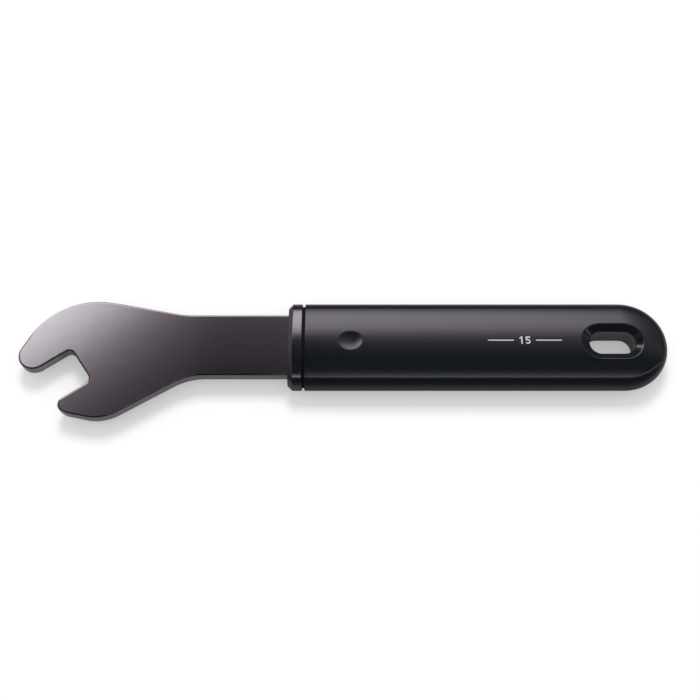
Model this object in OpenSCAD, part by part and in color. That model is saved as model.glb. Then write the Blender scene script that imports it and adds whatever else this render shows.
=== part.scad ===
// Open-end pedal wrench: a flat steel blade whose long tang is held in a crowned handle,
// closed at the front by a collar. The origin is the centre of the pedal axle that the jaw
// turns, halfway through the blade. X runs towards the hanging end, Z is square to the blade.

/* [Jaw] */
// Gap between the two jaw flats
jaw_gap = 15.2; // [14:0.1:17]
// From the axle's centre to the back of the jaw
jaw_depth = 8; // [6.5:0.1:9.5]
// Angle between the jaw and the handle
jaw_angle = 34.5; // [30:0.5:38]
// Radius in the two inner corners of the jaw
throat_r = 2.3; // [1.5:0.1:2.8]

/* [Head] */
// How far the long arm's outline corner lies out along its flat
long_arm_reach = 28.6; // [27:0.1:30]
// Radius of the long arm's tip
long_arm_tip_r = 5.7; // [5:0.1:6.2]
// Height of the crown's outline corner over the long arm's flat
crown_rise = 22; // [20.5:0.1:23.5]
// Setback of the crown's outline corner from the axle's centre
crown_back = 14.9; // [14:0.1:16]
// Radius of the head's crown
crown_r = 28.4; // [24:0.2:30]
// Height of the shoulder's outline corner over the long arm's flat
shoulder_rise = 5.9; // [5.6:0.1:6.8]
// Setback of the shoulder's outline corner from the axle's centre
shoulder_back = 32.4; // [31:0.1:34]
// Radius of the shoulder between the crown and the neck
shoulder_r = 68; // [56:1:80]
// How far the short arm's outline corner lies out along its flat
short_arm_reach = 9.2; // [8.6:0.1:9.8]
// Radius of the short arm's tip
short_arm_tip_r = 3; // [2.4:0.1:3.4]
// How far the bend under the short arm's tip lies out past the axle's centre
short_arm_nose = 6.1; // [5.4:0.1:6.8]
// Depth of that bend under the short arm's flat
short_arm_wall = 5.95; // [5.2:0.05:6.6]
// Radius of that bend
short_arm_nose_r = 6.8; // [5.5:0.1:8]
// Depth of the heel's outline corner under the short arm's flat
heel_drop = 16; // [15:0.2:17]
// Setback of the heel's outline corner from the axle's centre
heel_back = 3.5; // [3:0.1:4.2]
// Radius of the heel
heel_r = 16.4; // [14:0.2:18]

/* [Blade] */
// Thickness of the blade
blade_t = 4.6; // [4:0.1:5.4]
// Width of the neck and the tang
neck_w = 24.6; // [22:0.2:26]
// From the axle's centre to the bend in the neck's top edge
top_bend_x = 44; // [42:0.2:46]
// Radius of the bend in the neck's top edge
top_bend_r = 35.5; // [30:0.5:42]
// From the axle's centre to the bend in the neck's bottom edge
bottom_bend_x = 46.4; // [44:0.2:49]
// Radius of the bend in the neck's bottom edge
bottom_bend_r = 23.3; // [20:0.1:27]
// Length of the tang inside the handle
tang_len = 100; // [85:1:102]
// Radius of the two corners at the tang's end
tang_end_r = 4; // [2:0.5:8]
// Chamfer all along the blade's edges
blade_chamfer = 0.55; // [0.3:0.05:0.7]

/* [Handle] */
// From the axle's centre to the handle's middle line, across the handle
handle_offset = 12.35; // [11.5:0.05:13]
// From the axle's centre to the collar's front face, along the handle
neck_reach = 83.35; // [78:0.05:92]
// Width of the handle and the collar
handle_w = 34.6; // [33:0.2:38]
// Thickness of the handle and the collar at the middle
handle_t = 13; // [12.4:0.1:14.5]
// Radius of the handle's rounded sides
side_r = 4.7; // [4.2:0.1:5.4]
// Length of the handle from its front face to its round end
handle_len = 136; // [134:1:155]
// Chamfer around the handle's front face and the collar's back face
joint_chamfer = 0.25; // [0.15:0.05:0.35]

/* [Hanging hole] */
// Length of the hole
hole_len = 17.2; // [15:0.2:19]
// Width of the hole
hole_w = 8.9; // [7.5:0.1:10]
// From the hole's centre to the handle's round end
hole_inset = 21.2; // [20:0.2:24]
// Width of the countersink at the handle's surface, seen across the handle
countersink_w = 14.2; // [12.5:0.1:15.5]
// Depth of the countersink under the middle of the handle
countersink_depth = 2.1; // [1.6:0.1:2.6]

/* [Collar] */
// Length of the collar's full section, with its front chamfer
collar_len = 5.3; // [4.6:0.1:7]
// Length of the collar's front chamfer, along the handle
collar_chamfer = 1.7; // [1.2:0.1:2.1]
// Width of the groove between the collar and the handle
groove_w = 0.9; // [0.6:0.1:1.4]
// Depth of that groove
groove_depth = 1; // [0.6:0.1:1.4]
// Length of the collar's spigot inside the handle
spigot_len = 7; // [5:0.5:10]
// Width of the spigot
spigot_w = 27.4; // [27:0.1:28]
// Thickness of the spigot
spigot_t = 7.6; // [7:0.1:8.2]

/* [Thumb mark] */
// Width of the shallow round dimple on top of the handle
dimple_d = 9; // [6:0.5:12]
// Depth of the dimple
dimple_depth = 0.45; // [0.2:0.05:0.7]
// From the handle's front face to the dimple's centre
dimple_x = 17.1; // [12:0.1:24]

/* [Fits] */
// Clearance on each side of the tang and the spigot
fit_gap = 0.1; // [0.05:0.05:0.2]

/* [Hidden] */
$fn = 96;

// How far a cutter runs past the surface that it cuts
past = 1;
// The same for the fine cutters of the chamfers
past_chamfer = 0.1;
// Each arc is this much larger than the tangent one, so that it crosses its edges cleanly
ease = 0.004;
// An arc's chamfer is a little narrower and shallower than its edges', for the same reason
arc_chamfer_width = blade_chamfer * 0.9955;
arc_chamfer_depth = blade_chamfer * 0.9975;

// Places along the handle
groove_x = neck_reach + collar_len;
handle_x = groove_x + groove_w;
handle_end_x = handle_x + handle_len;
round_end_x = handle_end_x - handle_w / 2;
hole_x = handle_end_x - hole_inset;
tang_end_x = handle_x + tang_len;

// The section is two crowns that run tangent into two round sides
side_y = handle_w / 2 - side_r;
crown_section_r = (side_y ^ 2 + (handle_t / 2) ^ 2 - side_r ^ 2) / (handle_t - 2 * side_r);
crown_section_z = crown_section_r - handle_t / 2;
crown_half_angle = asin(side_y / (crown_section_r - side_r));

// The blade's outline, counter-clockwise, as [corner, radius] with the metal on the left
half_gap = jaw_gap / 2;
neck_top = handle_offset + neck_w / 2;
neck_bottom = handle_offset - neck_w / 2;
outline = [
    [[bottom_bend_x, neck_bottom], bottom_bend_r],
    [[tang_end_x, neck_bottom], tang_end_r],
    [[tang_end_x, neck_top], tang_end_r],
    [[top_bend_x, neck_top], top_bend_r],
    [from_jaw(shoulder_back, half_gap + shoulder_rise), shoulder_r],
    [from_jaw(crown_back, half_gap + crown_rise), crown_r],
    [from_jaw(-long_arm_reach, half_gap), long_arm_tip_r],
    [from_jaw(jaw_depth, half_gap), throat_r],
    [from_jaw(jaw_depth, -half_gap), throat_r],
    [from_jaw(-short_arm_reach, -half_gap), short_arm_tip_r],
    [from_jaw(-short_arm_nose, -half_gap - short_arm_wall), short_arm_nose_r],
    [from_jaw(heel_back, -half_gap - heel_drop), heel_r],
];
corner_count = len(outline);

// A point given along the jaw, towards the handle, and across it, towards the long arm
function from_jaw(along, across) = [
    along * cos(jaw_angle) - across * sin(jaw_angle),
    along * sin(jaw_angle) + across * cos(jaw_angle),
];

function corner(i) = outline[(i + corner_count) % corner_count][0];
function heading(i) = (corner(i + 1) - corner(i)) / norm(corner(i + 1) - corner(i));
function left_of(v) = [-v.y, v.x];

// How far the outline turns at a corner: left is positive and goes round metal
function turn(i) = atan2(cross(heading(i - 1), heading(i)), heading(i - 1) * heading(i));
function wanted_tangent(i) =
    outline[(i + corner_count) % corner_count][1] * tan(abs(turn(i)) / 2);

// Two neighbouring radii share the edge between them when it is too short for both
function edge_share(i) =
    min(1, 0.9 * norm(corner(i + 1) - corner(i)) / (wanted_tangent(i) + wanted_tangent(i + 1)));
function tangent_length(i) = wanted_tangent(i) * min(edge_share(i - 1), edge_share(i));
function radius(i) = tangent_length(i) / tan(abs(turn(i)) / 2);
function arc_start(i) = corner(i) - heading(i - 1) * tangent_length(i);
function arc_end(i) = corner(i) + heading(i) * tangent_length(i);
function arc_centre(i) = arc_start(i) + sign(turn(i)) * left_of(heading(i - 1)) * radius(i);
function angle_of(v) = atan2(v.y, v.x);

// An arc crosses its edge this far from the tangent point, times two to be past the crossing
function run_on(i) = 2 * sqrt(2 * radius((i + corner_count) % corner_count) * ease);

// What lies between a corner and its arc, with a margin on the side away from the arc's centre
module corner_piece(i, height) {
    away_before = -sign(turn(i)) * left_of(heading(i - 1));
    away_after = -sign(turn(i)) * left_of(heading(i));
    away = (away_before + away_after) / (1 + away_before * away_after);
    margin = min(past, tangent_length(i));
    linear_extrude(height)
        difference() {
            polygon([
                arc_centre(i),
                arc_start(i),
                arc_start(i) + away_before * margin,
                corner(i) + away * margin,
                arc_end(i) + away_after * margin,
                arc_end(i),
            ]);
            translate(arc_centre(i)) circle(r = radius(i) + ease);
        }
}

// The part of a concave corner's circle that faces the metal
module concave_sector(i) {
    first = arc_start(i) - heading(i - 1) * run_on(i) - arc_centre(i);
    last = arc_end(i) + heading(i) * run_on(i) - arc_centre(i);
    translate([0, 0, -past])
        linear_extrude(blade_t + 2 * past)
            translate(arc_centre(i))
                intersection() {
                    circle(r = radius(i) + ease);
                    polygon([[0, 0], 2 * first, 2 * last]);
                }
}

// The blade before its chamfers, standing on z = 0
module blade_plate() {
    difference() {
        union() {
            linear_extrude(blade_t) polygon([for (c = outline) c[0]]);
            for (i = [0:corner_count - 1]) if (turn(i) < 0) corner_piece(i, blade_t);
        }
        for (i = [0:corner_count - 1])
            if (turn(i) < 0) concave_sector(i);
            else translate([0, 0, -past]) corner_piece(i, blade_t + 2 * past);
    }
}

// Cutter for a chamfer at z = 0 along a straight edge, with the metal to the left and below
module edge_chamfer(from, to, size) {
    translate(from)
        rotate(angle_of(to - from))
            rotate([90, 0, 90])
                linear_extrude(norm(to - from))
                    polygon([
                        [size + past_chamfer, past_chamfer],
                        [-past_chamfer, past_chamfer],
                        [-past_chamfer, -size - past_chamfer],
                    ]);
}

// The same along an arc; side is 1 where the metal is on the centre's side and -1 where it isn't
module arc_chamfer(centre, r, from, sweep, width, depth, side = 1) {
    slope = depth / width;
    translate(centre)
        rotate(from)
            rotate_extrude(angle = sweep)
                polygon([
                    [r - side * (width + past_chamfer), past_chamfer * slope],
                    [r + side * past_chamfer, past_chamfer * slope],
                    [r + side * past_chamfer, -depth - past_chamfer * slope],
                ]);
}

// Neighbouring cutters overlap: straight ones run on at convex arcs, concave arcs run on at edges
module blade_chamfers() {
    for (i = [0:corner_count - 1]) {
        convex = turn(i) > 0;
        side = convex ? 1 : -1;
        edge_chamfer(
            arc_end(i) - heading(i) * (convex ? run_on(i) : 0),
            arc_start(i + 1) + heading(i) * (turn(i + 1) > 0 ? run_on(i + 1) : 0),
            blade_chamfer
        );
        extra = convex ? 0 : run_on(i) / radius(i) * 180 / PI;
        arc_chamfer(
            arc_centre(i), radius(i) + ease,
            angle_of((convex ? arc_start(i) : arc_end(i)) - arc_centre(i)) - extra,
            abs(turn(i)) + 2 * extra,
            arc_chamfer_width, arc_chamfer_depth, side
        );
    }
}

// Flat steel blade: jaw, neck and the tang inside the handle, one piece
module wrench_blade() {
    color("dimgray")
        difference() {
            translate([0, 0, -blade_t / 2]) blade_plate();
            for (face = [0, 1])
                mirror([0, 0, face]) translate([0, 0, blade_t / 2]) blade_chamfers();
        }
}

// A round bar along X whose radius is smaller by front and back at its two ends
module chamfered_bar(r, length, front, back) {
    rotate([0, 90, 0])
        rotate_extrude()
            polygon([
                [0, 0],
                [r - front, 0],
                [r, front],
                [r, length - back],
                [r - back, length],
                [0, length],
            ]);
}

// Crowned bar with round sides from a place on the handle's middle line
module crowned_bar(x, length, r_less = 0, front = 0, back = 0) {
    edge_y = side_y + (side_r - r_less) * sin(crown_half_angle);
    slip = sin(crown_half_angle);
    translate([x, handle_offset, 0]) {
        intersection() {
            for_crown(1) chamfered_bar(crown_section_r - r_less, length, front, back);
            for_crown(-1) chamfered_bar(crown_section_r - r_less, length, front, back);
            translate([0, 0, -handle_t])
                linear_extrude(2 * handle_t)
                    polygon([
                        [0, front * slip - edge_y],
                        [front, -edge_y],
                        [length - back, -edge_y],
                        [length, back * slip - edge_y],
                        [length, edge_y - back * slip],
                        [length - back, edge_y],
                        [front, edge_y],
                        [0, edge_y - front * slip],
                    ]);
        }
        for (side = [-1, 1])
            translate([0, side * side_y, 0]) chamfered_bar(side_r - r_less, length, front, back);
    }
}

module for_crown(up) {
    translate([0, 0, -up * crown_section_z]) children();
}

// Half of the section, for the round end
module half_section() {
    intersection() {
        translate([0, -crown_section_z]) circle(r = crown_section_r);
        translate([0, crown_section_z]) circle(r = crown_section_r);
        translate([0, -handle_t]) square([side_y + side_r * sin(crown_half_angle), 2 * handle_t]);
    }
    translate([side_y, 0]) circle(r = side_r);
}

module round_end() {
    translate([round_end_x, handle_offset, 0])
        rotate(-90) rotate_extrude(angle = 180) half_section();
}

// Flat-sided bar with round edges that fills the handle's mouth, larger by gap all round
module spigot_bar(x, length, gap = 0) {
    r = spigot_t / 2 + gap;
    y = (spigot_w - spigot_t) / 2;
    translate([x, handle_offset, 0]) {
        translate([0, -y, -r]) cube([length, 2 * y, 2 * r]);
        for (side = [-1, 1])
            translate([0, side * y, 0]) rotate([0, 90, 0]) cylinder(r = r, h = length);
    }
}

// Room for the blade's tang
module tang_room(x, length) {
    translate([x, neck_bottom - fit_gap, -blade_t / 2 - fit_gap])
        cube([length, neck_w + 2 * fit_gap, blade_t + 2 * fit_gap]);
}

// An oblong cutter that widens upwards from r1 to r2 over its height
module oblong(r1, r2, h) {
    half_span = (hole_len - hole_w) / 2;
    for (side = [-1, 1])
        translate([side * half_span, 0, 0]) cylinder(r1 = r1, r2 = r2, h = h);
    translate([-half_span, 0, 0])
        rotate([90, 0, 90])
            linear_extrude(2 * half_span)
                polygon([[-r1, 0], [r1, 0], [r2, h], [-r2, h]]);
}

module hanging_hole() {
    rim_z = handle_t / 2 - countersink_depth;
    surface_r = countersink_w / 2;
    surface_z = sqrt(crown_section_r ^ 2 - surface_r ^ 2) - crown_section_z;
    slope = (surface_r - hole_w / 2) / (surface_z - rim_z);
    translate([hole_x, handle_offset, 0]) {
        translate([0, 0, -handle_t / 2 - past])
            oblong(hole_w / 2, hole_w / 2, handle_t + 2 * past);
        for (face = [0, 1])
            mirror([0, 0, face])
                translate([0, 0, rim_z])
                    oblong(
                        hole_w / 2,
                        hole_w / 2 + slope * (countersink_depth + past),
                        countersink_depth + past
                    );
    }
}

// Shallow dished dimple in the handle's top
module dimple() {
    dish_r = (dimple_d ^ 2 / 4 + dimple_depth ^ 2) / (2 * dimple_depth);
    translate([handle_x + dimple_x, handle_offset, handle_t / 2 - dimple_depth + dish_r])
        sphere(r = dish_r);
}

// End cap of the handle: flange with a front chamfer, groove neck and spigot
module front_collar() {
    color("black")
        difference() {
            union() {
                crowned_bar(neck_reach, collar_len, 0, collar_chamfer, joint_chamfer);
                crowned_bar(groove_x - past, groove_w + past, groove_depth);
                spigot_bar(handle_x - past, spigot_len + past);
            }
            tang_room(neck_reach - past, groove_w + collar_len + spigot_len + 2 * past);
        }
}

// Crowned handle with the tang's pocket, the spigot's socket, the hanging hole and the dimple
module handle() {
    color([0.12, 0.12, 0.13])
        difference() {
            union() {
                crowned_bar(handle_x, round_end_x - handle_x, 0, joint_chamfer, 0);
                round_end();
            }
            spigot_bar(handle_x - past, spigot_len + fit_gap + past, fit_gap);
            tang_room(handle_x - past, tang_len + past);
            hanging_hole();
            dimple();
        }
}

wrench_blade();
front_collar();
handle();
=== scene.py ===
import math

import bpy
import numpy as np
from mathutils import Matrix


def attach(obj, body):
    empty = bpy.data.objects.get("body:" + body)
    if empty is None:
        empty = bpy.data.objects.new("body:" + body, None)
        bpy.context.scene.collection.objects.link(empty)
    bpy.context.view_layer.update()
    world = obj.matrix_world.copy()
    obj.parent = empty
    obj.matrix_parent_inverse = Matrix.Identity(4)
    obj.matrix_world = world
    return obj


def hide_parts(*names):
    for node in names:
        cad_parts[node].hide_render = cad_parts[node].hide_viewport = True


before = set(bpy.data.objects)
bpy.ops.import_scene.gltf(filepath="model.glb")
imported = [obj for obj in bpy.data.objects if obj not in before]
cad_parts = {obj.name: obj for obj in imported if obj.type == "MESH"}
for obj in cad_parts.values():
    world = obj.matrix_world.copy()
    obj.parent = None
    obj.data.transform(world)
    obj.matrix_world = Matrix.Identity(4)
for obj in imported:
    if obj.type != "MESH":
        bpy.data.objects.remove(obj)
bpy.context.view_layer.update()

MM = 0.001

# Sizes of the head in millimetres, the same as in the part's source
JAW_GAP = 15.2
JAW_DEPTH = 8.0
JAW_ANGLE = math.radians(34.5)
THROAT_R = 2.3
LONG_ARM_REACH = 28.6
LONG_ARM_TIP_R = 5.7
HEAD_CROWN_RISE = 22
HEAD_CROWN_BACK = 14.9
HEAD_CROWN_R = 28.4
SHOULDER_RISE = 5.9
SHOULDER_BACK = 32.4
SHOULDER_R = 68
SHORT_ARM_REACH = 9.2
SHORT_ARM_TIP_R = 3
SHORT_ARM_NOSE = 6.1
SHORT_ARM_WALL = 5.95
SHORT_ARM_NOSE_R = 6.8
HEEL_DROP = 16
HEEL_BACK = 3.5
HEEL_R = 16.4

# Sizes of the neck and the tang
BLADE_T = 4.6
NECK_W = 24.6
TOP_BEND_X = 44
TOP_BEND_R = 35.5
BOTTOM_BEND_X = 46.4
BOTTOM_BEND_R = 23.3
TANG_END_X = 189.55
TANG_END_R = 4

# Sizes of the collar and the handle
AXIS_Y = 12.35
COLLAR_X = 83.35
COLLAR_CHAMFER = 1.7
SLOT_CLEARANCE = 0.1
GROOVE_X = 88.65
GROOVE_DEPTH = 1.0
HANDLE_X = 89.55
JOINT_CHAMFER = 0.25
HANDLE_W = 34.6
SIDE_R = 4.7
ROUND_END_X = 208.25
HOLE_X = 204.35
HOLE_R = 4.45
HOLE_HALF_SPAN = 4.15
COUNTERSINK_R = 7.1
COUNTERSINK_DEPTH = 2.1
DIMPLE_X = 106.65
DIMPLE_R = 4.5
DIMPLE_DEPTH = 0.45

# The dressed handle is this much thinner than the solid, so that the print fits on it
PRINT_ROOM = 0.04
HANDLE_T = 13.0 - PRINT_ROOM

# The handle's section: two crowns tangent to two round sides
SIDE_Y = HANDLE_W / 2 - SIDE_R
CROWN_R = (SIDE_Y**2 + (HANDLE_T / 2) ** 2 - SIDE_R**2) / (HANDLE_T - 2 * SIDE_R)
CROWN_Z = CROWN_R - HANDLE_T / 2
CROWN_HALF_ANGLE = math.asin(SIDE_Y / (CROWN_R - SIDE_R))
CROWN_EDGE_Y = CROWN_R * math.sin(CROWN_HALF_ANGLE)
SIDE_HALF_ANGLE = math.pi / 2 - CROWN_HALF_ANGLE

# Places closer than this count as the same
TOUCH = 1e-6


def ramp(start, end, count):
    return np.linspace(start, end, count)


def unit_rows(v):
    return v / np.linalg.norm(v, axis=1, keepdims=True)


def left_of(direction):
    return np.array([-direction[1], direction[0]])


def turned(direction, angle):
    return direction * math.cos(angle) + left_of(direction) * math.sin(angle)


def turn_between(first, second):
    return math.atan2(first[0] * second[1] - first[1] * second[0], first @ second)


class Skin:
    """Collects points with their normals and the faces between them."""

    def __init__(self):
        self.points = []
        self.faces = []
        self.normals = []
        self.tones = []

    def face(self, corners, normals, tone=0):
        """Adds a face in the material that tone counts."""
        self.tones.append(tone)
        first = len(self.points)
        self.points.extend(corners)
        self.faces.append(range(first, first + len(corners)))
        self.normals.extend(normals)

    def strip(self, rings, closed=True, tone=0):
        """Joins rings of (points, normals) by quads.

        Each ring runs counter-clockwise seen from the last one.
        """
        for (p, n), (q, m) in zip(rings, rings[1:]):
            count = len(p)
            for j in range(count if closed else count - 1):
                k = (j + 1) % count
                self.face([p[j], p[k], q[k], q[j]], [n[j], n[k], m[k], m[j]], tone)

    def build(self, name, materials, node=None):
        mesh = bpy.data.meshes.new(name)
        points = np.array(self.points) * MM
        mesh.from_pydata(points.tolist(), [], [list(f) for f in self.faces])
        mesh.polygons.foreach_set("use_smooth", [True] * len(self.faces))
        mesh.normals_split_custom_set(np.array(self.normals).tolist())
        for material in materials:
            mesh.materials.append(material)
        mesh.polygons.foreach_set("material_index", self.tones)
        piece = bpy.data.objects.new(name, mesh)
        bpy.context.scene.collection.objects.link(piece)
        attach(piece, "root")
        if node:
            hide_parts(node)
        return piece


def section(crown_steps=80, side_steps=20):
    """The handle's section counter-clockwise as (points, normals) in the YZ plane."""
    places = []
    for side, middle in ((1, 0), (-1, math.pi)):
        start = middle - SIDE_HALF_ANGLE
        for a in ramp(start, start + 2 * SIDE_HALF_ANGLE, side_steps + 1):
            places.append((side * SIDE_Y, 0.0, SIDE_R, a))
        start = middle + SIDE_HALF_ANGLE
        for a in ramp(start, start + 2 * CROWN_HALF_ANGLE, crown_steps + 1)[1:-1]:
            places.append((0.0, -side * CROWN_Z, CROWN_R, a))
    places = np.array(places)
    centre, radius, angle = places[:, :2], places[:, 2:3], places[:, 3]
    normals = np.stack([np.cos(angle), np.sin(angle)], axis=1)
    return centre + normals * radius, normals


def section_ring(points, normals, x, inset, along):
    """The section at a place along X, drawn in by inset. along is the X part of its normals."""
    yz = points - normals * inset
    p = np.column_stack([np.full(len(yz), x), yz[:, 0] + AXIS_Y, yz[:, 1]])
    n = np.column_stack([np.full(len(yz), along), normals * math.sqrt(1 - along * along)])
    return p, n


def rounded_corner(before, corner, after, r, steps=5):
    """Points (x, inset, along) of a small round between two straight stretches of a profile."""
    d1, d2 = unit_rows(np.array([np.subtract(corner, before), np.subtract(after, corner)], float))
    turn = turn_between(d1, d2)
    reach = r * math.tan(abs(turn) / 2)
    side = math.copysign(1, turn)
    centre = np.array(corner) - d1 * reach + side * r * left_of(d1)
    out = []
    for k in range(steps + 1):
        d = turned(d1, turn * k / steps)
        p = centre - side * r * left_of(d)
        out.append((p[0], p[1], d[1]))
    return out


def profile_through(corners, rounds):
    """A profile through (x, inset) corners, with a small round at each inner corner."""
    out = []
    last = len(corners) - 1
    for i, corner in enumerate(corners):
        if i in (0, last):
            start = max(i - 1, 0)
            d = np.subtract(corners[start + 1], corners[start])
            out.append((corner[0], corner[1], d[1] / np.linalg.norm(d)))
        else:
            out.extend(rounded_corner(corners[i - 1], corner, corners[i + 1], rounds[i - 1]))
    return out


def crown(x, y):
    """Height and normal of the handle's top at a place given from the handle's middle line."""
    dx = np.maximum(x - ROUND_END_X, 0)
    z = np.sqrt(CROWN_R**2 - y * y - dx * dx)
    normal = np.stack([dx, y, z], axis=-1) / CROWN_R
    return z - CROWN_Z, normal


# The round at the hole's two rims, and how finely the top is cut between its edge and the hole
RIM_ROUND = 0.3
RIM_STEPS = 5
TOP_STEPS = 14


def stadium_reach(angle, r):
    """How far from the hole's centre its outline, grown to radius r, lies at an angle."""
    c, s = np.abs(np.cos(angle)), np.abs(np.sin(angle))
    straight = r / np.maximum(s, 1e-9)
    around = HOLE_HALF_SPAN * c + np.sqrt(np.maximum(r * r - (HOLE_HALF_SPAN * s) ** 2, 0))
    return np.where(straight * c <= HOLE_HALF_SPAN, straight, around)


def stadium_outward(p):
    """Plan direction away from the hole's middle segment, for points from the hole's centre."""
    nearest = np.clip(p[:, 0], -HOLE_HALF_SPAN, HOLE_HALF_SPAN)
    out = p - np.stack([nearest, np.zeros(len(p))], axis=1)
    return unit_rows(out)


def bezier(p0, p1, p2, t):
    return p0 * (1 - t) ** 2 + 2 * p1 * t * (1 - t) + p2 * t * t


def rim_rings(start, corner, end):
    """Rings of a round from one ring to another, drawn towards the corner between them."""
    out = []
    for t in ramp(0, 1, RIM_STEPS + 1):
        points = bezier(start[0], corner, end[0], t)
        out.append((points, unit_rows(start[1] * (1 - t) + end[1] * t)))
    return out


def hole_rings(boundary):
    """Rings from the boundary over the rim down to the hole's wall.

    The boundary's plan points are given from the handle's middle line.
    """
    from_hole = boundary - np.array([HOLE_X, 0.0])
    angle = np.arctan2(from_hole[:, 1], from_hole[:, 0])
    direction = np.stack([np.cos(angle), np.sin(angle)], axis=1)
    rim_z = HANDLE_T / 2 - COUNTERSINK_DEPTH
    surface_z = math.sqrt(CROWN_R**2 - COUNTERSINK_R**2) - CROWN_Z
    slope = (COUNTERSINK_R - HOLE_R) / (surface_z - rim_z)

    def placed(plan, z):
        return np.column_stack([plan[:, 0] + HOLE_X, plan[:, 1] + AXIS_Y, z])

    def plan_at(radius):
        return direction * stadium_reach(angle, radius)[:, None]

    def on_crown(plan):
        z, n = crown(plan[:, 0] + HOLE_X, plan[:, 1])
        return placed(plan, z), n

    def on_cone(radius):
        plan = plan_at(radius)
        out = stadium_outward(plan)
        z = rim_z + (radius - HOLE_R) / slope
        n = np.column_stack([-out, np.full(len(out), slope)]) / math.hypot(1, slope)
        return placed(plan, z), n

    def on_wall(z):
        plan = plan_at(np.full(len(angle), HOLE_R))
        n = np.column_stack([-stadium_outward(plan), np.zeros(len(plan))])
        return placed(plan, np.full(len(plan), z)), n

    # Where the cone meets the crown is found by going back and forth between them
    r = np.full(len(angle), COUNTERSINK_R)
    for _ in range(30):
        p = plan_at(r)
        z, _normal = crown(p[:, 0] + HOLE_X, p[:, 1])
        r = HOLE_R + slope * (z - rim_z)

    rim_reach = stadium_reach(angle, r)
    outer = direction * (rim_reach + RIM_ROUND)[:, None]
    rings = []
    for t in ramp(0, 1, TOP_STEPS + 1)[:-1]:
        rings.append(on_crown(from_hole * (1 - t) + outer * t))
    outer_corner = on_crown(direction * rim_reach[:, None])[0]
    rings.extend(rim_rings(on_crown(outer), outer_corner, on_cone(r - RIM_ROUND)))
    inner_corner = on_wall(rim_z)[0]
    top_of_wall = on_wall(rim_z - RIM_ROUND)
    rings.extend(rim_rings(on_cone(np.full(len(r), HOLE_R + RIM_ROUND)), inner_corner, top_of_wall))
    return rings


def mirrored(ring):
    flip = np.array([1, 1, -1])
    return ring[0] * flip, ring[1] * flip


# The dimple's edge is softened over this height, and its points are cut finely this far around it
DIMPLE_SOFTNESS = 0.03
DIMPLE_MARGIN = 2
DIMPLE_STEPS = 52


def dimple(points, normals):
    """Presses the shallow round dimple into the points of the top."""
    dish_r = (DIMPLE_R**2 + DIMPLE_DEPTH**2) / (2 * DIMPLE_DEPTH)
    bottom = HANDLE_T / 2 - DIMPLE_DEPTH

    def height(x, y):
        top = np.sqrt(CROWN_R**2 - (y - AXIS_Y) ** 2) - CROWN_Z
        d2 = (x - DIMPLE_X) ** 2 + (y - AXIS_Y) ** 2
        dish = bottom + dish_r - np.sqrt(np.maximum(dish_r**2 - d2, 0))
        return (top + dish - np.sqrt((top - dish) ** 2 + DIMPLE_SOFTNESS**2)) / 2

    away = np.hypot(points[:, 0] - DIMPLE_X, points[:, 1] - AXIS_Y)
    near = (away < DIMPLE_R + DIMPLE_MARGIN) & (points[:, 2] > 0)
    x, y = points[near, 0], points[near, 1]
    step = 0.02
    gx = (height(x + step, y) - height(x - step, y)) / (2 * step)
    gy = (height(x, y + step) - height(x, y - step)) / (2 * step)
    points[near, 2] = height(x, y)
    normals[near] = unit_rows(np.column_stack([-gx, -gy, np.ones(len(gx))]))


# The handle's straight stretch: how far its front face goes in, its rounds and its stations
FRONT_FACE_INSET = 3.0
FRONT_STRETCH = 4
HANDLE_ROUNDS = [0.05, 0.1]
HANDLE_STATIONS = [130, 150, 170]
GRID_END_X = 190.0
STRAIGHT_STEPS = 15
ROUND_END_STEPS = 72
SIDE_STEPS = 24


def handle_rings():
    """Rings from the handle's front face over the dimple to where the round end's part begins."""
    points, normals = section()
    front = profile_through(
        [
            (HANDLE_X, FRONT_FACE_INSET),
            (HANDLE_X, JOINT_CHAMFER),
            (HANDLE_X + JOINT_CHAMFER, 0),
            (HANDLE_X + FRONT_STRETCH, 0),
        ],
        HANDLE_ROUNDS,
    )
    reach = DIMPLE_R + DIMPLE_MARGIN
    stations = [HANDLE_X + FRONT_STRETCH]
    stations += list(ramp(DIMPLE_X - reach, DIMPLE_X + reach, DIMPLE_STEPS + 1))
    stations += HANDLE_STATIONS + [GRID_END_X]
    rings = []
    for x, inset, along in front[:-1] + [(x, 0, 0) for x in stations]:
        p, n = section_ring(points, normals, x, inset, along)
        if inset == 0:
            dimple(p, n)
        rings.append((p, n))
    return rings


def crown_edge():
    """Plan points of the crown's edge from +Y around the round end to -Y."""
    straight = ramp(GRID_END_X, ROUND_END_X, STRAIGHT_STEPS + 1)
    upper = [(x, CROWN_EDGE_Y) for x in straight]
    arc = [
        (ROUND_END_X + CROWN_EDGE_Y * math.sin(a), CROWN_EDGE_Y * math.cos(a))
        for a in ramp(0, math.pi, ROUND_END_STEPS + 1)[1:]
    ]
    lower = [(x, -CROWN_EDGE_Y) for x in straight[::-1][1:]]
    return upper + arc + lower


def top_boundary():
    """Plan points around the round end's part of the top, clockwise seen from above."""
    points, _normals = section()
    on_top = (points[:, 1] > 0) & (np.abs(points[:, 0]) <= CROWN_EDGE_Y + TOUCH)
    seam = [(GRID_END_X, y) for y in np.sort(points[on_top, 0])]
    return np.array(seam + crown_edge()[1:-1])[::-1]


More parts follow.
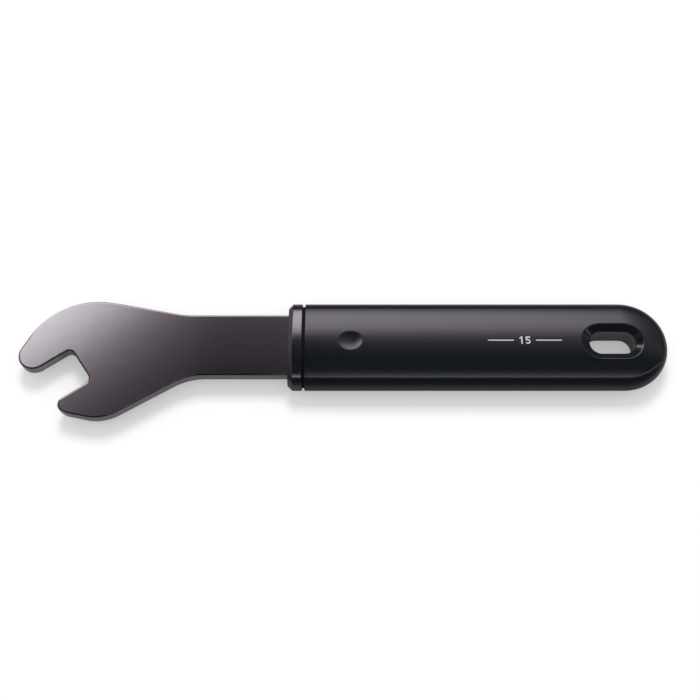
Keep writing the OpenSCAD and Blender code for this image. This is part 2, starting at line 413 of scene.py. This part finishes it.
def side_rings():
    """Open rings of the round side, from the top's edge down to the bottom's."""
    rim = np.array(crown_edge())
    base = np.stack([np.minimum(rim[:, 0], ROUND_END_X), np.zeros(len(rim))], axis=1)
    outward = unit_rows(rim - base)
    rings = []
    for a in ramp(SIDE_HALF_ANGLE, -SIDE_HALF_ANGLE, SIDE_STEPS + 1):
        plan = base + outward * (SIDE_Y + SIDE_R * math.cos(a))
        z = np.full(len(plan), SIDE_R * math.sin(a))
        p = np.column_stack([plan[:, 0], plan[:, 1] + AXIS_Y, z])
        n = np.column_stack([outward * math.cos(a), np.full(len(plan), math.sin(a))])
        rings.append((p, n))
    return rings


def make_handle(material, lit_wall_material):
    skin = Skin()
    skin.strip(handle_rings())
    top = hole_rings(top_boundary())
    bottom = [mirrored(ring) for ring in reversed(top)]
    skin.strip(top)
    # The hole's wall takes the lighter grey material: painted light
    skin.strip([top[-1], bottom[0]], tone=1)
    skin.strip(bottom)
    skin.strip(side_rings(), closed=False)
    return skin.build("handle_body", [material, lit_wall_material], "handle")


# The collar's front face and slot, as deep as they show, and the rounds of its profile in order
FACE_INSET = 0.8
SLOT_DEPTH = 3.0
COLLAR_ROUNDS = [0.25, 0.35, 0.15, 0.05, 0.05]


def add_collar_slot(skin, front):
    """Adds the front face between its outer ring and the blade's slot, and the slot's walls."""
    half = np.array([NECK_W / 2 + SLOT_CLEARANCE, BLADE_T / 2 + SLOT_CLEARANCE])
    slot = np.clip(front[:, 1:] - np.array([AXIS_Y, 0]), -half, half)
    face_normals = np.tile([-1.0, 0, 0], (len(front), 1))
    slot_ring = np.column_stack([np.full(len(slot), COLLAR_X), slot[:, 0] + AXIS_Y, slot[:, 1]])
    skin.strip([(slot_ring, face_normals), (front, face_normals)])
    inward = np.zeros((len(slot), 3))
    on_side = np.abs(np.abs(slot[:, 0]) - half[0]) < TOUCH
    inward[on_side, 1] = -np.sign(slot[on_side, 0])
    inward[~on_side, 2] = -np.sign(slot[~on_side, 1])
    deep = slot_ring + np.array([SLOT_DEPTH, 0, 0])
    skin.strip([(deep, inward), (slot_ring, inward)])


def make_collar(material, groove_painted_shade_material):
    skin = Skin()
    points, normals = section()
    profile = profile_through(
        [
            (COLLAR_X, COLLAR_CHAMFER + FACE_INSET),
            (COLLAR_X, COLLAR_CHAMFER),
            (COLLAR_X + COLLAR_CHAMFER, 0),
            (GROOVE_X - JOINT_CHAMFER, 0),
            (GROOVE_X, JOINT_CHAMFER),
            (GROOVE_X, GROOVE_DEPTH),
            (HANDLE_X, GROOVE_DEPTH),
        ],
        COLLAR_ROUNDS,
    )
    rings = [section_ring(points, normals, *place) for place in profile]
    add_collar_slot(skin, rings[0][0])
    # The groove's floor takes its own material, darker and duller than the collar's: painted shade for the
    # narrow gap
    skin.strip(rings[:-2])
    skin.strip(rings[-3:], tone=1)
    return skin.build("collar_body", [material, groove_painted_shade_material], "front_collar")


def from_jaw(along, across):
    c, s = math.cos(JAW_ANGLE), math.sin(JAW_ANGLE)
    return (along * c - across * s, along * s + across * c)


HALF_GAP = JAW_GAP / 2
NECK_TOP = AXIS_Y + NECK_W / 2
NECK_BOTTOM = AXIS_Y - NECK_W / 2

# Corner and radius, counter-clockwise
BLADE_OUTLINE = [
    ((BOTTOM_BEND_X, NECK_BOTTOM), BOTTOM_BEND_R),
    ((TANG_END_X, NECK_BOTTOM), TANG_END_R),
    ((TANG_END_X, NECK_TOP), TANG_END_R),
    ((TOP_BEND_X, NECK_TOP), TOP_BEND_R),
    (from_jaw(SHOULDER_BACK, HALF_GAP + SHOULDER_RISE), SHOULDER_R),
    (from_jaw(HEAD_CROWN_BACK, HALF_GAP + HEAD_CROWN_RISE), HEAD_CROWN_R),
    (from_jaw(-LONG_ARM_REACH, HALF_GAP), LONG_ARM_TIP_R),
    (from_jaw(JAW_DEPTH, HALF_GAP), THROAT_R),
    (from_jaw(JAW_DEPTH, -HALF_GAP), THROAT_R),
    (from_jaw(-SHORT_ARM_REACH, -HALF_GAP), SHORT_ARM_TIP_R),
    (from_jaw(-SHORT_ARM_NOSE, -HALF_GAP - SHORT_ARM_WALL), SHORT_ARM_NOSE_R),
    (from_jaw(HEEL_BACK, -HALF_GAP - HEEL_DROP), HEEL_R),
]

# Two neighbouring rounds share this much of a straight edge that is too short for both
EDGE_SHARE = 0.9

# The round that the blade's edges have here in place of the solid's chamfer
BLADE_EDGE_R = 0.65
BLADE_EDGE_STEPS = 6


def rounded_outline(corners, step=math.radians(3)):
    """Points and outward normals of an outline whose corners are rounded."""
    count = len(corners)
    place = [np.array(corner) for corner, _r in corners]
    edges = np.array([place[(i + 1) % count] - place[i] for i in range(count)])
    lengths = np.linalg.norm(edges, axis=1)
    heading = unit_rows(edges)
    turn = [turn_between(heading[i - 1], heading[i]) for i in range(count)]
    wanted = [corners[i][1] * math.tan(abs(turn[i]) / 2) for i in range(count)]
    share = []
    for i in range(count):
        both = wanted[i] + wanted[(i + 1) % count]
        share.append(min(1, EDGE_SHARE * lengths[i] / both))
    points, normals = [], []
    for i in range(count):
        reach = wanted[i] * min(share[i - 1], share[i])
        r = reach / math.tan(abs(turn[i]) / 2)
        side = math.copysign(1, turn[i])
        d = heading[i - 1]
        centre = place[i] - d * reach + side * r * left_of(d)
        for a in ramp(0, turn[i], max(3, math.ceil(abs(turn[i]) / step)) + 1):
            outward = -left_of(turned(d, a))
            points.append(centre + side * r * outward)
            normals.append(outward)
    return np.array(points), np.array(normals)


def make_blade(material, edge_material):
    skin = Skin()
    outline, outward = rounded_outline(BLADE_OUTLINE)

    def ring(tilt):
        inset = BLADE_EDGE_R * (1 - math.cos(tilt))
        z = BLADE_T / 2 - BLADE_EDGE_R * (1 - math.sin(tilt))
        p = np.column_stack([outline - outward * inset, np.full(len(outline), z)])
        n = np.column_stack([outward * math.cos(tilt), np.full(len(outline), math.sin(tilt))])
        return p, n

    upper = [ring(tilt) for tilt in ramp(0, math.pi / 2, BLADE_EDGE_STEPS + 1)]
    rings = [mirrored(r) for r in reversed(upper)] + upper
    # The wall and the step of the round under it take the cut edge's material
    cut_first = len(upper) - 2
    cut_last = len(upper)
    skin.strip(rings[:cut_first + 1])
    skin.strip(rings[cut_first:cut_last + 1], tone=1)
    skin.strip(rings[cut_last:])
    top = rings[-1][0]
    bottom = rings[0][0][::-1]
    up = np.tile([0.0, 0, 1], (len(top), 1))
    skin.face(list(top), list(up))
    skin.face(list(bottom), list(-up))
    return skin.build("blade_body", [material, edge_material], "wrench_blade")


GRAIN_DETAIL = 3


def principled(name):
    material = bpy.data.materials.new(name)
    material.use_nodes = True
    return material, material.node_tree, material.node_tree.nodes["Principled BSDF"]


def grain_bump(tree, shader, scale, strength, distance, stretch=(1, 1, 1)):
    nodes, links = tree.nodes, tree.links
    coordinates = nodes.new("ShaderNodeTexCoord")
    mapping = nodes.new("ShaderNodeMapping")
    mapping.inputs["Scale"].default_value = stretch
    noise = nodes.new("ShaderNodeTexNoise")
    noise.inputs["Scale"].default_value = scale
    noise.inputs["Detail"].default_value = GRAIN_DETAIL
    bump = nodes.new("ShaderNodeBump")
    bump.inputs["Strength"].default_value = strength
    bump.inputs["Distance"].default_value = distance
    links.new(coordinates.outputs["Object"], mapping.inputs["Vector"])
    links.new(mapping.outputs["Vector"], noise.inputs["Vector"])
    links.new(noise.outputs["Fac"], bump.inputs["Height"])
    links.new(bump.outputs["Normal"], shader.inputs["Normal"])
    return noise


def vary_roughness(tree, shader, noise, low, high):
    spread = tree.nodes.new("ShaderNodeMapRange")
    spread.inputs["To Min"].default_value = low
    spread.inputs["To Max"].default_value = high
    tree.links.new(noise.outputs["Fac"], spread.inputs["Value"])
    tree.links.new(spread.outputs["Result"], shader.inputs["Roughness"])


def vary_colour(tree, shader, noise, dark, light):
    mix = tree.nodes.new("ShaderNodeMix")
    mix.data_type = "RGBA"
    mix.inputs["A"].default_value = (*dark, 1)
    mix.inputs["B"].default_value = (*light, 1)
    tree.links.new(noise.outputs["Fac"], mix.inputs["Factor"])
    tree.links.new(mix.outputs["Result"], shader.inputs["Base Color"])


def grained(name, grain, roughness, colours, metallic=0.0, specular=0.5):
    """A material whose roughness and colour follow a fine grain."""
    material, tree, shader = principled(name)
    shader.inputs["Metallic"].default_value = metallic
    shader.inputs["Specular IOR Level"].default_value = specular
    noise = grain_bump(tree, shader, **grain)
    vary_roughness(tree, shader, noise, *roughness)
    vary_colour(tree, shader, noise, *colours)
    return material


def handle_material():
    return grained(
        "handle_satin",
        grain={"scale": 2600, "strength": 0.12, "distance": 0.00004},
        roughness=(0.14, 0.18),
        colours=((0.0045, 0.006, 0.0085), (0.0065, 0.008, 0.0105)),
    )


# Painted light: the hole's wall is the handle's own black plastic, coloured light grey for the light the
# floor throws into the hole
def hole_wall_light_material():
    return grained(
        "hole_wall_painted_light",
        grain={"scale": 1800, "strength": 0.1, "distance": 0.00003},
        roughness=(0.35, 0.45),
        colours=((0.13, 0.115, 0.13), (0.17, 0.15, 0.17)),
    )


def collar_material():
    return grained(
        "collar_gloss",
        grain={"scale": 900, "strength": 0.05, "distance": 0.00003},
        roughness=(0.07, 0.10),
        colours=((0.006, 0.006, 0.010), (0.008, 0.008, 0.012)),
        specular=1.0,
    )


# Painted shade: near-black and dull, standing in for the shade inside the narrow groove between collar and
# handle
def groove_painted_shade_material():
    return grained(
        "groove_painted_shade",
        grain={"scale": 1500, "strength": 0.1, "distance": 0.00003},
        roughness=(0.5, 0.6),
        colours=((0.003, 0.003, 0.004), (0.005, 0.005, 0.006)),
        specular=0.1,
    )


def blade_material():
    return grained(
        "blade_smoky_steel",
        grain={"scale": 700, "strength": 0.015, "distance": 0.00002, "stretch": (0.25, 1, 1)},
        roughness=(0.05, 0.07),
        colours=((0.22, 0.22, 0.22), (0.25, 0.25, 0.25)),
        metallic=1.0,
    )


def blade_edge_material():
    return grained(
        "blade_cut_edge",
        grain={"scale": 900, "strength": 0.05, "distance": 0.00002, "stretch": (1, 1, 0.2)},
        roughness=(0.08, 0.14),
        colours=((0.46, 0.44, 0.47), (0.54, 0.52, 0.55)),
        metallic=1.0,
    )


def print_material():
    return grained(
        "print_grey",
        grain={"scale": 3000, "strength": 0.1, "distance": 0.00003},
        roughness=(0.4, 0.5),
        colours=((0.50, 0.50, 0.51), (0.56, 0.56, 0.57)),
    )


# The size number between two lines, in millimetres
PRINT_X = 157.6
PRINT_LENGTH = 27.4
PRINT_HEIGHT = 3.0
PRINT_LIFT = PRINT_ROOM * 0.4
ROW_HEIGHT = 0.5
STROKE = 0.5
LINE_LENGTH = 9.6
LINE_WIDTH = 0.4
ONE_X = PRINT_LENGTH / 2 - 2.0
FLAG_REACH = 0.6
FLAG_DROP = 0.55
FIVE_X = PRINT_LENGTH / 2 + 0.2
FIVE_STEM_X = 0.1
FIVE_TOP_END_X = 1.8
BOWL_R = 0.98
BOWL_X = 0.85
BOWL_START = math.radians(-150)
BOWL_END = math.radians(130)
BOWL_STEPS = 24


def bar(x0, y0, x1, y1):
    """A rectangle in rows low enough to follow the handle's crown."""
    levels = ramp(y0, y1, math.ceil((y1 - y0) / ROW_HEIGHT) + 1)
    return [[(x0, a), (x1, a), (x1, b), (x0, b)] for a, b in zip(levels, levels[1:])]


def digit_one():
    h = PRINT_HEIGHT / 2
    stem = ONE_X + FLAG_REACH
    tip = h - FLAG_DROP
    flag = [(stem, h), (ONE_X, tip), (ONE_X, tip - STROKE), (stem, h - STROKE * 1.1)]
    return bar(stem, -h, stem + STROKE, h) + [flag]


def digit_five():
    h = PRINT_HEIGHT / 2
    stem = FIVE_X + FIVE_STEM_X
    pieces = bar(stem, h - STROKE, FIVE_X + FIVE_TOP_END_X, h)
    pieces += bar(stem, 0, stem + STROKE, h - STROKE)

    def on_bowl(r, angle):
        return (FIVE_X + BOWL_X + r * math.cos(angle), -h + BOWL_R + r * math.sin(angle))

    inner = BOWL_R - STROKE
    angles = ramp(BOWL_START, BOWL_END, BOWL_STEPS + 1)
    for a, b in zip(angles, angles[1:]):
        pieces.append([on_bowl(inner, a), on_bowl(BOWL_R, a), on_bowl(BOWL_R, b), on_bowl(inner, b)])
    return pieces


def make_print(material):
    skin = Skin()
    low, high = -LINE_WIDTH / 2, LINE_WIDTH / 2
    pieces = bar(0, low, LINE_LENGTH, high)
    pieces += bar(PRINT_LENGTH - LINE_LENGTH, low, PRINT_LENGTH, high)
    pieces += digit_one()
    pieces += digit_five()
    for outline in pieces:
        plan = np.array(outline)
        x, y = plan[:, 0] + PRINT_X, plan[:, 1]
        z, n = crown(x, y)
        skin.face(list(np.column_stack([x, y + AXIS_Y, z + PRINT_LIFT])), list(n))
    return skin.build("size_print", [material])


def math_node(tree, operation, a, b=None):
    node = tree.nodes.new("ShaderNodeMath")
    node.operation = operation
    for socket, value in zip(node.inputs, (a, b)):
        if value is None:
            continue
        if isinstance(value, (int, float)):
            socket.default_value = value
        else:
            tree.links.new(value, socket)
    return node.outputs[0]


def product(tree, first, *others):
    for other in others:
        first = math_node(tree, "MULTIPLY", first, other)
    return first


def total(tree, first, *others):
    for other in others:
        first = math_node(tree, "ADD", first, other)
    return first


# The middle of the wrench, in metres
MIDDLE = (0.105, 0.011, 0.0)

# The floor, in metres. Towards the horizon it glows, so that it ends in plain white.
FLOOR_HALF = 3.0
FLOOR_GAP = 0.00002
FLOOR_GREY = 0.95
# For glossy rays the floor's grey drops to FLOOR_MIRRORED: a painted darkening of the floor's reflection in
# the wrench
FLOOR_MIRRORED = 0.38
FLOOR_ROUGHNESS = 0.9
FLOOR_GLOW = 0.33
GLOW_FROM = 0.16
GLOW_TO = 0.40


def floor_glow(tree, is_camera):
    """How much of the floor's look is its own glow, for camera rays."""
    away = tree.nodes.new("ShaderNodeVectorMath")
    away.operation = "DISTANCE"
    place = tree.nodes.new("ShaderNodeNewGeometry").outputs["Position"]
    tree.links.new(place, away.inputs[0])
    away.inputs[1].default_value = MIDDLE
    glow = tree.nodes.new("ShaderNodeMapRange")
    glow.inputs["From Min"].default_value = GLOW_FROM
    glow.inputs["From Max"].default_value = GLOW_TO
    glow.inputs["To Min"].default_value = FLOOR_GLOW
    glow.inputs["To Max"].default_value = 1.0
    tree.links.new(away.outputs["Value"], glow.inputs["Value"])
    return product(tree, is_camera, glow.outputs["Result"])


def floor_material():
    material, tree, shader = principled("floor_white")
    shader.inputs["Roughness"].default_value = FLOOR_ROUGHNESS
    shader.inputs["Specular IOR Level"].default_value = 0.0
    path = tree.nodes.new("ShaderNodeLightPath")
    tone = tree.nodes.new("ShaderNodeMix")
    tone.data_type = "RGBA"
    tone.inputs["A"].default_value = (FLOOR_GREY, FLOOR_GREY, FLOOR_GREY, 1)
    tone.inputs["B"].default_value = (FLOOR_MIRRORED, FLOOR_MIRRORED, FLOOR_MIRRORED, 1)
    tree.links.new(path.outputs["Is Glossy Ray"], tone.inputs["Factor"])
    tree.links.new(tone.outputs["Result"], shader.inputs["Base Color"])
    white = tree.nodes.new("ShaderNodeEmission")
    blend = tree.nodes.new("ShaderNodeMixShader")
    tree.links.new(floor_glow(tree, path.outputs["Is Camera Ray"]), blend.inputs["Fac"])
    tree.links.new(shader.outputs["BSDF"], blend.inputs[1])
    tree.links.new(white.outputs["Emission"], blend.inputs[2])
    tree.links.new(blend.outputs["Shader"], tree.nodes["Material Output"].inputs["Surface"])
    return material


def make_floor(material):
    mesh = bpy.data.meshes.new("floor")
    z = -HANDLE_T / 2 * MM - FLOOR_GAP
    half = FLOOR_HALF
    corners = [(-half, -half, z), (half, -half, z), (half, half, z), (-half, half, z)]
    mesh.from_pydata(corners, [], [(0, 1, 2, 3)])
    mesh.materials.append(material)
    floor = bpy.data.objects.new("floor", mesh)
    bpy.context.scene.collection.objects.link(floor)


def ramp_node(tree, value, stops):
    """A grey ramp over an angle in degrees, from -90 to 90."""
    node = tree.nodes.new("ShaderNodeValToRGB")
    node.color_ramp.interpolation = "LINEAR"
    elements = node.color_ramp.elements
    elements.remove(elements[-1])
    for i, (angle, level) in enumerate(stops):
        place = (angle + 90) / 180
        element = elements[0] if i == 0 else elements.new(place)
        element.position = place
        element.color = (level, level, level, 1)
    position = total(tree, math_node(tree, "DIVIDE", value, 180.0), 0.5)
    tree.links.new(position, node.inputs["Fac"])
    return node.outputs["Color"]


# Studio light by direction. Angles in degrees from straight up, towards +Y and towards +X.
# Towards -X of LEAN_FROM the strip leans: its angle grows by STRIP_LEAN for each degree.
STRIP_LEAN = 0.75
LEAN_FROM = -8.0
STRIP_FADE = 0.012
STRIP_LEVEL = 4.2
STRIP = [
    (18, 0.0), (27, 0.014), (28.4, 0.0205), (29.3, 0.031), (30.5, 0.040), (31.9, 0.062), (32.6, 0.080),
    (33.3, 0.100), (34.1, 0.138), (34.8, 0.185), (36.4, 0.34), (38, 0.50), (42.7, 0.81), (48.2, 0.98),
    (54.7, 1.0), (61.2, 0.86),
]
STRIP_GREEN = [(26, 0.76), (31, 0.79), (33.5, 0.855), (36, 0.90), (38.5, 0.93), (48, 0.88)]
STRIP_END = [(54.5, 1.0), (56.5, 0.0)]
STRIP_RIGHT = [(17.0, 1.0), (30.0, 0.45), (45.0, 0.2)]
STRIP_LEFT = [(-23.0, 0.0), (-20.5, 1.0)]
# Past its left end the strip goes on only where both angles and this shift add up to STRIP_CORNER
CORNER_SHIFT = 20.0
STRIP_CORNER = [(21.0, 0.0), (23.0, 1.0)]
FILL_LEVEL = 0.39
FILL = [(6, 0.0), (11, 0.18), (17, 0.5), (22, 0.87), (28, 1.0), (33, 0.0)]
FILL_LEFT = [(-3.5, 0.0), (-1.5, 1.0)]
FRONT_LEVEL = 2.0
FRONT_LAMP = [(-15.5, 0.0), (-13.5, 1.0), (-10.0, 1.0), (-8.0, 0.0)]
FRONT_LAMP_LEFT = [(-5.0, 0.0), (-4.0, 1.0)]
LOW_LEVEL = 0.05
LOW_FRONT = [(-88, 1.0), (-80, 0.5), (-70, 0.1), (-60, 0.0)]
OVERHEAD_LEVEL = 0.16
OVERHEAD = [(-12, 0.0), (-7, 1.0), (7, 1.0), (12, 0.0)]
OVERHEAD_RIGHT = [(-14.0, 1.0), (-3.5, 0.0)]
HORIZON_LEVEL = 0.08
HORIZON_HEIGHT = [(0, 1.0), (20, 1.0), (35, 0.0)]
DARK_LEVEL = 0.01
# All but the strip is a little bluish
BLUE_SHARE = 1.1
# What lights the diffuse surfaces from all around
AMBIENT = 0.74


def strip_light(tree, across, along):
    """The long softbox behind the wrench: its red level, which is also its blue one, and its green."""
    left = math_node(tree, "MINIMUM", along, LEAN_FROM)
    leaning = math_node(tree, "SUBTRACT", across, product(tree, left, STRIP_LEAN))
    fade = math_node(tree, "SUBTRACT", 1.0, product(tree, along, STRIP_FADE))
    corner = ramp_node(tree, total(tree, across, along, CORNER_SHIFT), STRIP_CORNER)
    kept = math_node(tree, "MAXIMUM", ramp_node(tree, along, STRIP_LEFT), corner)
    ends = product(tree, ramp_node(tree, across, STRIP_END), ramp_node(tree, along, STRIP_RIGHT))
    red = product(tree, ramp_node(tree, leaning, STRIP), ends, fade, kept, STRIP_LEVEL)
    green = product(tree, red, ramp_node(tree, leaning, STRIP_GREEN))
    return red, green


def other_light(tree, across, along, height):
    """The lamps besides the strip, and the dark studio around them."""
    front = product(tree, ramp_node(tree, across, FRONT_LAMP), FRONT_LEVEL)
    front = product(tree, front, ramp_node(tree, along, FRONT_LAMP_LEFT))
    fill = product(tree, ramp_node(tree, across, FILL), FILL_LEVEL)
    fill = product(tree, fill, ramp_node(tree, along, FILL_LEFT))
    low = product(tree, ramp_node(tree, across, LOW_FRONT), LOW_LEVEL)
    overhead = product(tree, ramp_node(tree, across, OVERHEAD), OVERHEAD_LEVEL)
    overhead = product(tree, overhead, ramp_node(tree, along, OVERHEAD_RIGHT))
    horizon = product(tree, ramp_node(tree, height, HORIZON_HEIGHT), HORIZON_LEVEL)
    return total(tree, front, fill, low, overhead, horizon, DARK_LEVEL)


def studio_colour(tree):
    """What glossy rays see in a direction."""
    direction = tree.nodes.new("ShaderNodeTexCoord").outputs["Generated"]
    parts = tree.nodes.new("ShaderNodeSeparateXYZ")
    tree.links.new(direction, parts.inputs[0])
    x, y, z = parts.outputs
    to_degrees = 180 / math.pi
    across = product(tree, math_node(tree, "ARCTAN2", y, z), to_degrees)
    along = product(tree, math_node(tree, "ARCTAN2", x, z), to_degrees)
    height = product(tree, math_node(tree, "ARCSINE", z), to_degrees)
    strip, green = strip_light(tree, across, along)
    rest = other_light(tree, across, along, height)
    studio = tree.nodes.new("ShaderNodeCombineXYZ")
    tree.links.new(total(tree, strip, rest), studio.inputs[0])
    tree.links.new(total(tree, green, rest), studio.inputs[1])
    tree.links.new(total(tree, strip, product(tree, rest, BLUE_SHARE)), studio.inputs[2])
    return studio.outputs[0]


def make_world():
    """White for the camera, plain grey for diffuse rays and the studio for glossy rays."""
    world = bpy.data.worlds.new("studio")
    bpy.context.scene.world = world
    world.use_nodes = True
    tree = world.node_tree
    tree.nodes.clear()
    path = tree.nodes.new("ShaderNodeLightPath")
    plain = math_node(tree, "MAXIMUM", path.outputs["Is Camera Ray"], AMBIENT)
    colour = tree.nodes.new("ShaderNodeMix")
    colour.data_type = "VECTOR"
    tree.links.new(path.outputs["Is Glossy Ray"], colour.inputs["Factor"])
    tree.links.new(plain, colour.inputs["A"])
    tree.links.new(studio_colour(tree), colour.inputs["B"])
    background = tree.nodes.new("ShaderNodeBackground")
    tree.links.new(colour.outputs["Result"], background.inputs["Color"])
    output = tree.nodes.new("ShaderNodeOutputWorld")
    tree.links.new(background.outputs["Background"], output.inputs["Surface"])


# The key light stands behind the wrench, at this angle over the floor. Its side and distance are in metres.
KEY_ENERGY = 5.2
KEY_SIZE = 0.35
KEY_ELEVATION = math.radians(55)
KEY_DISTANCE = 1.0


def make_key():
    light = bpy.data.lights.new("key", "AREA")
    light.energy = KEY_ENERGY
    light.size = KEY_SIZE
    light.shape = "SQUARE"
    key = bpy.data.objects.new("key", light)
    bpy.context.scene.collection.objects.link(key)
    towards_key = np.array([0.0, math.cos(KEY_ELEVATION), math.sin(KEY_ELEVATION)])
    key.location = np.array(MIDDLE) + towards_key * KEY_DISTANCE
    key.rotation_euler = (KEY_ELEVATION - math.pi / 2, 0, 0)
    key.visible_glossy = False


# The camera looks at this point on the blade's mid-plane, in millimetres
LOOK_AT = np.array([106.5, 11.17, 0.0])
CAMERA_TILT = math.radians(23.3)
CAMERA_DISTANCE = 388.6
CAMERA_LENS = 53.2
SENSOR_WIDTH = 36
CLIP_START = 0.01


def make_camera():
    data = bpy.data.cameras.new("camera")
    data.lens = CAMERA_LENS
    data.sensor_width = SENSOR_WIDTH
    data.clip_start = CLIP_START
    camera = bpy.data.objects.new("camera", data)
    bpy.context.scene.collection.objects.link(camera)
    back = np.array([0.0, -math.sin(CAMERA_TILT), math.cos(CAMERA_TILT)])
    camera.location = (LOOK_AT + back * CAMERA_DISTANCE) * MM
    camera.rotation_euler = (CAMERA_TILT, 0, 0)
    bpy.context.scene.camera = camera


make_blade(blade_material(), blade_edge_material())
make_collar(collar_material(), groove_painted_shade_material())
make_handle(handle_material(), hole_wall_light_material())
make_print(print_material())
make_floor(floor_material())
make_world()
make_key()
make_camera()
bpy.context.scene.view_settings.view_transform = "Standard"
